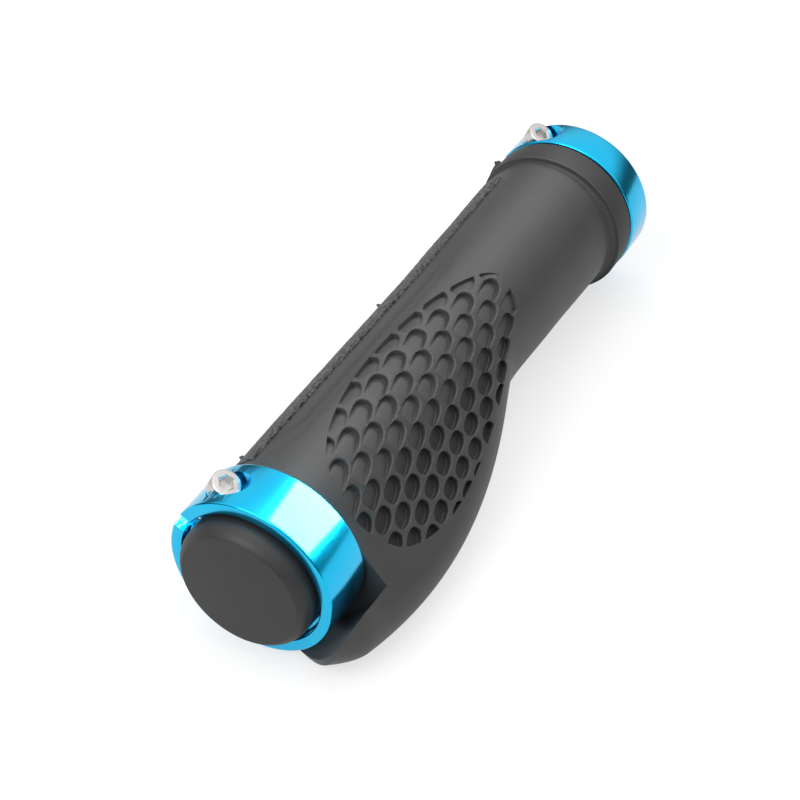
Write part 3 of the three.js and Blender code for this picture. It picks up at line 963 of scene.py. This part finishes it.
def dogs(name, start, end, clearance):
    """Three dogs between two stations, or the notches that take them."""
    half = DOG_HALF_WIDTH + clearance
    shell = [(BORE_RADIUS - clearance, start), (SLEEVE_RADIUS + clearance, start),
             (SLEEVE_RADIUS + clearance, end), (BORE_RADIUS - clearance, end)]
    bodies = []
    for share in (0.25, 0.5, 0.75):
        bar = block(f"bar_{share}", (start - 1, 0, -half), (end + 1, FAR, half))
        bar.data.transform(Matrix.Rotation(TURN * share, 4, "X"))
        dog = combined(turned(f"{name}_{share}", shell), "INTERSECT", bar)
        bodies.append(settled(dog, [bar]))
    return bodies


def core_sleeve(material):
    """The tube inside the rubber, with three dogs at each end."""
    outline = [(BORE_RADIUS, SLEEVE_START, 0.2), (SLEEVE_RADIUS, SLEEVE_START, 0.3),
               (SLEEVE_RADIUS, SLEEVE_END, 0.3), (BORE_RADIUS, SLEEVE_END, 0.2)]
    body = turned("sleeve", rounded(outline, 3))
    reach = DOG_LENGTH + SEAT_GAP
    ends = dogs("outboard_dog", SLEEVE_START - reach, SLEEVE_START + 1, 0)
    ends += dogs("inboard_dog", SLEEVE_END - 1, SLEEVE_END + reach, 0)
    settled(combined(body, "UNION", *ends), ends)
    return finished("sleeve_tube", body, material, ["core_sleeve"])


def clamp_ring(name, node, start, end, recessed, material):
    """A ring with its slit, screw hole and head pocket opposite the wing."""
    reach = DOG_LENGTH + SEAT_GAP
    if recessed:
        floor = start + CAP_RECESS_DEPTH
        outline = [(BORE_RADIUS, floor, 0.2), (CAP_RECESS_RADIUS, floor, 0.3),
                   (CAP_RECESS_RADIUS, start, 0.3)]
        notches = dogs("notch", end - reach, end + 1, SEAT_GAP)
    else:
        outline = [(BORE_RADIUS, start, 0.3)]
        notches = dogs("notch", start - 1, start + reach, SEAT_GAP)
    outline += [(RING_RADIUS, start, RING_EDGE), (RING_RADIUS, end, RING_EDGE), (BORE_RADIUS, end, 0.3)]
    body = turned(name, rounded(outline, 5), 256)
    middle = (start + end) / 2
    at_screw = Matrix.Translation((middle, SCREW_OFFSET, 0))
    slit = block("slit", (start - 1, 0, -SLIT_HALF_WIDTH), (end + 1, FAR, SLIT_HALF_WIDTH))
    hole = upright("hole", [(0, -RING_RADIUS), (SCREW_HOLE_RADIUS, -RING_RADIUS),
                            (SCREW_HOLE_RADIUS, RING_RADIUS), (0, RING_RADIUS)], 64)
    seat = SCREW["head seat"] - SEAT_GAP
    pocket = upright("pocket", rounded([
        (0, seat, 0), (POCKET_RADIUS, seat, 0.3), (POCKET_RADIUS, RING_RADIUS, 0), (0, RING_RADIUS, 0)]))
    hole.data.transform(at_screw)
    pocket.data.transform(at_screw)
    tools = [slit, hole, pocket, *notches]
    settled(combined(body, "DIFFERENCE", *tools), tools)
    bevel = body.modifiers.new("edges", "BEVEL")
    bevel.width = 0.12
    bevel.segments = 2
    bevel.limit_method = "ANGLE"
    bevel.angle_limit = math.radians(50)
    settled(body)
    return finished(name, body, material, [node], 35)


def shank_tree(material):
    """A screw's shank with a true thread: a drum whose radius follows a helix."""
    tree = Shape("threaded_shank", SCREW)
    size = tree.size
    sockets = {"Vertices": 48, "Side Segments": 160, "Fill Segments": 1, "Radius": 1.0, "Depth": 1.0}
    drum = tree.node("GeometryNodeMeshCylinder", {"fill_type": "TRIANGLE_FAN"}, sockets).outputs["Mesh"]
    x, y, z = tree.position()
    height = between(size["screw end"], size["head seat"] + 0.1, z + 0.5)
    turns = height / size["thread pitch"] + arc_tangent(y, x) / TURN
    ridge = size_of(turns - whole_part(turns) - 0.5) * 2
    fade = capped((size["head seat"] - 1.5 - height) / 0.8)
    lead = larger(1 - (height - size["screw end"]) / 0.5, 0.0) * 0.3
    radius = size["shank radius"] - size["thread depth"] * ridge * fade - lead
    return tree.finish(tree.moved(drum, x * radius, y * radius, height), material)


def clamp_screw(name, node, station, material):
    """A socket head screw across the ring's slit, its head knurled."""
    shank = settled(follows(linked("shank", bpy.data.meshes.new("shank")), shank_tree(material)))
    head = upright(name, rounded([
        (0, SCREW["head seat"], 0), (SCREW_HEAD_RADIUS, SCREW["head seat"], 0.12),
        (SCREW_HEAD_RADIUS, SCREW_FACE, 0.3), (0, SCREW_FACE, 0)]), 2 * KNURLS)
    for vertex in head.data.vertices:
        x, y, z = vertex.co
        on_side = z > SCREW["head seat"] + 0.05 and math.hypot(x, y) > SCREW_HEAD_RADIUS - 0.02
        valley = round(math.atan2(y, x) / TURN * 2 * KNURLS) % 2
        vertex.co.xy *= 1 - KNURL_DEPTH / SCREW_HEAD_RADIUS * on_side * valley
    corner = SOCKET_FLATS / math.sqrt(3)
    bottom = SCREW_FACE - SOCKET_DEPTH
    socket = upright("socket", [
        (0, bottom - 0.5), (corner * 0.7, bottom), (corner, bottom), (corner, SCREW_FACE - 0.25),
        (corner + 0.3, SCREW_FACE + 0.05), (0, SCREW_FACE + 0.05)], 6)
    socket.data.transform(Matrix.Rotation(SOCKET_TURN, 4, "Z"))
    combined(head, "UNION", shank)
    combined(head, "DIFFERENCE", socket)
    settled(head, [shank, socket])
    head.data.transform(Matrix.Translation((station, SCREW_OFFSET, 0)))
    return finished(name, head, material, [node], 35)


def end_plug(material):
    """The plug: a domed cap with a wide round shoulder, on a ribbed and slotted stem."""
    steps = [i / 12 for i in range(13)]
    outline = [(CAP_FACE_RADIUS * share, CAP_DOME * share ** 2 - PLUG_OVERHANG) for share in steps[:-1]]
    depth = PLUG_OVERHANG - CAP_DOME + CAP_SHOULDER_END
    for share in steps:
        angle = between(CAP_CREASE, math.pi / 2, share)
        out = (math.sin(angle) - math.sin(CAP_CREASE)) / (1 - math.sin(CAP_CREASE))
        station = CAP_SHOULDER_END - depth * math.cos(angle) / math.cos(CAP_CREASE)
        outline.append((between(CAP_FACE_RADIUS, CAP_RADIUS, out), station))
    outline += [(CAP_RADIUS, CAP_BACK - 0.2), (CAP_RADIUS - 0.2, CAP_BACK), (STEM_RADIUS, CAP_BACK)]
    near_top = STEM_RIB - 0.04
    for rib in (CAP_BACK + 4, STEM_END - 4):
        for along, height in ((-1, 0), (-0.15, near_top), (0, STEM_RIB), (0.15, near_top), (1, 0)):
            outline.append((STEM_RADIUS + height, rib + along))
    inside = STEM_RADIUS - STEM_WALL
    outline += [(STEM_RADIUS, STEM_END - 0.3), (STEM_RADIUS - 0.3, STEM_END), (inside + 0.2, STEM_END),
                (inside, STEM_END - 0.2), (inside, CAP_BACK + 2.4), (inside - 0.6, CAP_BACK + 1.8),
                (0, CAP_BACK + 1.8)]
    body = turned("plug", outline)
    slots = []
    for share in (0.125, 0.375):
        slot = block(f"slot_{share}", (STEM_END - STEM_SLOT_LENGTH, -FAR, -STEM_SLOT_HALF_WIDTH),
                     (STEM_END + 1, FAR, STEM_SLOT_HALF_WIDTH))
        slot.data.transform(Matrix.Rotation(TURN * share, 4, "X"))
        slots.append(slot)
    settled(combined(body, "DIFFERENCE", *slots), slots)
    return finished("end_cap_plug", body, material, ["end_plug"], 22)


# Studio

def softbox(name, direction, distance, width, length, brightness, along=(0, 1, 0)):
    """A rectangular lamp that faces the outboard ring, its length lying along a direction."""
    light = bpy.data.lights.new(name, "AREA")
    light.shape = "RECTANGLE"
    light.size, light.size_y = width, length
    light.energy = brightness * math.pi * width * length
    lamp = linked(name, light)
    outwards = Vector(direction).normalized()
    across = Vector(along).cross(outwards).normalized()
    turned_to = Matrix((across, outwards.cross(across), outwards)).transposed()
    place = PLACE.translation + outwards * distance
    lamp.matrix_world = Matrix.Translation(place) @ turned_to.to_4x4()
    return lamp


def studio_floor():
    """A pale floor that the camera and reflections see as white, and that keeps the shadow."""
    mesh = bpy.data.meshes.new("floor")
    mesh.from_pydata([(-3, -3, 0), (3, -3, 0), (3, 3, 0), (-3, 3, 0)], [], [(0, 1, 2, 3)])
    floor = linked("floor", mesh)
    paint = Finish("white_floor")
    ray = paint.node("ShaderNodeLightPath").outputs
    kinds = ("Is Camera Ray", "Is Glossy Ray", "Is Transmission Ray")
    camera, glossy, through = (Value(paint, ray[kind]) for kind in kinds)
    glow = larger(larger(camera, glossy), through) * FLOOR_GLOW + camera * FLOOR_GLOW_TO_CAMERA
    shader = paint.node("ShaderNodeBsdfPrincipled", sockets={
        "Base Color": (FLOOR_GREY, FLOOR_GREY, FLOOR_GREY, 1), "Roughness": 0.9,
        "Specular IOR Level": 0.0, "Emission Color": (1, 1, 1, 1), "Emission Strength": glow})
    paint.node("ShaderNodeOutputMaterial", sockets={"Surface": shader.outputs[0]})
    mesh.materials.append(paint.material)


def studio_world():
    """A soft sky that is brightest overhead and dark at the horizon, and white to the camera."""
    world = bpy.data.worlds.new("studio")
    world.use_nodes = True
    bpy.context.scene.world = world
    tree = Tree(world.node_tree)
    tree.nodes.nodes.clear()
    height = tree.parts(tree.node("ShaderNodeTexCoord").outputs["Generated"])[2]
    strength = between(HORIZON_LIGHT, SKY_LIGHT, ease((height - 0.2) / 0.36))
    strength = strength + ZENITH_LIGHT * ease((height - 0.68) / 0.3)
    camera = Value(tree, tree.node("ShaderNodeLightPath").outputs["Is Camera Ray"])
    strength = choose(camera, 1.0, strength)
    background = tree.node("ShaderNodeBackground", sockets={"Color": (1, 1, 1, 1), "Strength": strength})
    tree.node("ShaderNodeOutputWorld", sockets={"Surface": background.outputs[0]})


def lights_only(lamp, *pieces):
    """Keeps a lamp to the given pieces."""
    lit = bpy.data.collections.new(f"{lamp.name}_receivers")
    for piece in pieces:
        lit.objects.link(piece)
    lamp.light_linking.receiver_collection = lit


def studio_lamps(ring, rubber, cap):
    """A softbox that the outboard ring mirrors, one for the rubber's sheen, and a broad key."""
    band = softbox("ring_softbox", (0.62, -0.42, 0.67), 0.45, 0.3, 0.44, 36, along=(0, -0.81, -0.58))
    lights_only(band, ring)
    sheen = softbox("sheen_softbox", (0.5, 0.06, 0.86), 0.6, 0.5, 0.4, 2.0)
    lights_only(sheen, rubber, cap)
    softbox("key_softbox", (-0.7, 0.25, 0.67), 0.7, 0.4, 0.4, 3.6)


def studio_camera():
    """A long lens, looking down at the grip from its outboard end."""
    data = bpy.data.cameras.new("camera")
    data.sensor_width = SENSOR_WIDTH
    data.lens = FOCAL_LENGTH * SENSOR_WIDTH / IMAGE_WIDTH
    data.clip_start = 0.01
    camera = linked("camera", data)
    camera.location = PLACE.translation + Vector(CAMERA_OFFSET)
    camera.rotation_euler = (math.pi / 2 - CAMERA_TILT, 0, CAMERA_HEADING - math.pi / 2)
    bpy.context.scene.camera = camera


studio_camera()
rubber = rubber_grip(rubber_finish())
core_sleeve(sleeve_finish())
anodised = anodised_finish()
outboard_ring = clamp_ring("outboard_ring", "outboard_clamp", 0, OUTBOARD_RING_WIDTH, True, anodised)
clamp_ring("inboard_ring", "inboard_clamp", INBOARD_RING_START, GRIP_END, False, anodised)
steel = steel_finish()
clamp_screw("outboard_screw", "outboard_clamp_screw", OUTBOARD_RING_WIDTH / 2, steel)
clamp_screw("inboard_screw", "inboard_clamp_screw", (INBOARD_RING_START + GRIP_END) / 2, steel)
cap = end_plug(plug_finish())
studio_floor()
studio_world()
studio_lamps(outboard_ring, rubber, cap)
bpy.context.scene.view_settings.view_transform = "Standard"
